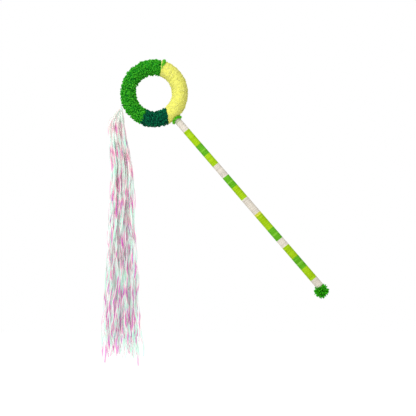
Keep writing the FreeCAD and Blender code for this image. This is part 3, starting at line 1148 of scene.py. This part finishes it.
    def tint(self, depth, twist, grown):
        """Where the colour of a strip's two edges and middle lies between mint and magenta."""
        shimmer = 0.5 + 0.5 * self.wave(self.SHIMMER, depth, 4)
        turned = 0.5 + 0.5 * np.sin(twist * 2 + self.phases[:, 5][:, None])
        film = self.film
        edges = np.array([-1.0, 0.0, 1.0]) * film.edge_shift
        share = self.SHIMMER_SHARE
        mixed = (shimmer * share + turned * (1 - share))[..., None] + edges
        more = (film.colour_below - film.colour_above) * np.sqrt(grown[..., None])
        spread = film.colour_above + more
        return np.clip(self.WHITE + (mixed - 0.5) * spread, 0, 1)


class RIBBONWAND_OT_inner(WandOperator):
    """Give the wood, foam and glue inside the wand their finishes."""

    bl_idname = "ribbon_wand.inner"
    bl_label = "Finish the inside"

    def execute(self, context):
        glue = glue_finish()
        finishes = {
            "stick_dowel": wood_finish(),
            "ring_core": foam_finish(),
            "ring_glue": glue,
            "pompom_glue": glue,
        }
        for node, finish in finishes.items():
            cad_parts[node].material_slots[0].material = finish
        return {"FINISHED"}


class RIBBONWAND_OT_stage(WandOperator):
    """Set up the floor, the light and the camera."""

    bl_idname = "ribbon_wand.stage"
    bl_label = "Set the stage"

    def execute(self, context):
        stage = settings().stage
        low, high = CAD_BOX
        centre = (Vector(low) + Vector(high)) / 2
        self.add_floor(stage)
        self.add_lights(stage)
        self.add_sky(context, stage)
        data = bpy.data.cameras.new("camera")
        data.sensor_width = 36
        data.lens = data.sensor_width * stage.distance / stage.field
        data.clip_end = 50
        camera = placed("camera", data)
        camera.location = centre + FRONT * stage.distance + Vector((stage.shift_x, 0, stage.shift_z))
        camera.location.y = -stage.distance
        camera.rotation_euler = (math.pi / 2, 0, 0)
        context.scene.camera = camera
        context.scene.view_settings.view_transform = "Standard"
        return {"FINISHED"}

    FLOOR_HALF = 3

    def add_floor(self, stage):
        film = settings().film
        hank_length = KNOT.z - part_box("streamer_4")[0].z
        height = KNOT.z - hank_length * film.longest - stage.floor_gap
        mesh = bpy.data.meshes.new("floor")
        half = self.FLOOR_HALF
        corners = [(-half, -half, height), (half, -half, height), (half, half, height), (-half, half, height)]
        mesh.from_pydata(corners, [], [(0, 1, 2, 3)])
        material, tree, surface = new_finish("pale_floor", Roughness=0.9, Specular_IOR_Level=0.1)
        coloured(tree, surface, grain(tree, 3.0), (0, (0.94,) * 3), (1, (0.97,) * 3))
        show("floor", mesh, material)

    def add_lights(self, stage):
        """A broad even light over everything, and a nearer one that brightens the ring's end."""
        sun = bpy.data.lights.new("broad_light", "SUN")
        sun.angle = math.radians(60)
        sun.energy = stage.sun
        self.place_light(sun, Vector((-0.4, -0.8, 0.9)))
        near = bpy.data.lights.new("near_light", "AREA")
        near.shape = "DISK"
        near.size = 0.5
        near.energy = stage.key
        self.place_light(near, Vector((-0.35, -0.6, 0.3)))

    def place_light(self, data, way):
        """A light that looks at the ring from one way."""
        light = placed(data.name, data)
        light.location = RING_CENTRE + way
        light.rotation_euler = way.to_track_quat("Z", "Y").to_euler()

    def add_sky(self, context, stage):
        """White to look at, and softer as light."""
        world = bpy.data.worlds.new("sky")
        world.use_nodes = True
        context.scene.world = world
        tree = Tree(world.node_tree)
        background = next(node for node in world.node_tree.nodes if node.type == "BACKGROUND")
        background.inputs["Color"].default_value = (1, 1, 1, 1)
        seen = tree.number("ShaderNodeLightPath")
        tree.give(background.inputs["Strength"], seen * (1 - stage.sky) + stage.sky)


class RIBBONWAND_PT_maker(bpy.types.Panel):
    """Lists the steps of making the wand, with their settings."""

    bl_idname = "RIBBONWAND_PT_maker"
    bl_label = "Ribbon wand"
    bl_space_type = "VIEW_3D"
    bl_region_type = "UI"
    bl_category = "Wand"

    def draw(self, context):
        for step in STEPS:
            self.layout.operator(step.bl_idname)
        for name in GROUPS:
            group = getattr(settings(), name)
            box = self.layout.box()
            box.label(text=name.capitalize())
            for value in group.bl_rna.properties:
                if value.identifier not in ("rna_type", "name"):
                    box.prop(group, value.identifier)


GROUPS = {
    "yarn": RibbonWandYarn,
    "thread": RibbonWandThread,
    "pompom": RibbonWandPompom,
    "tie": RibbonWandTie,
    "film": RibbonWandFilm,
    "stage": RibbonWandStage,
}


class RibbonWandSettings(bpy.types.PropertyGroup):
    """All the wand's settings."""

    yarn: PointerProperty(type=RibbonWandYarn)
    thread: PointerProperty(type=RibbonWandThread)
    pompom: PointerProperty(type=RibbonWandPompom)
    tie: PointerProperty(type=RibbonWandTie)
    film: PointerProperty(type=RibbonWandFilm)
    stage: PointerProperty(type=RibbonWandStage)


STEPS = [
    RIBBONWAND_OT_yarn,
    RIBBONWAND_OT_loose_yarn,
    RIBBONWAND_OT_thread,
    RIBBONWAND_OT_pompom,
    RIBBONWAND_OT_tie,
    RIBBONWAND_OT_film,
    RIBBONWAND_OT_inner,
    RIBBONWAND_OT_stage,
]
CLASSES = [*GROUPS.values(), RibbonWandSettings, *STEPS, RIBBONWAND_PT_maker]


def register():
    for item in CLASSES:
        bpy.utils.register_class(item)
    bpy.types.Scene.ribbon_wand = PointerProperty(type=RibbonWandSettings)


def unregister():
    del bpy.types.Scene.ribbon_wand
    for item in reversed(CLASSES):
        bpy.utils.unregister_class(item)


def main():
    register()
    for step in STEPS:
        getattr(bpy.ops.ribbon_wand, step.bl_idname.split(".")[1])()


if __name__ == "__main__":
    main()
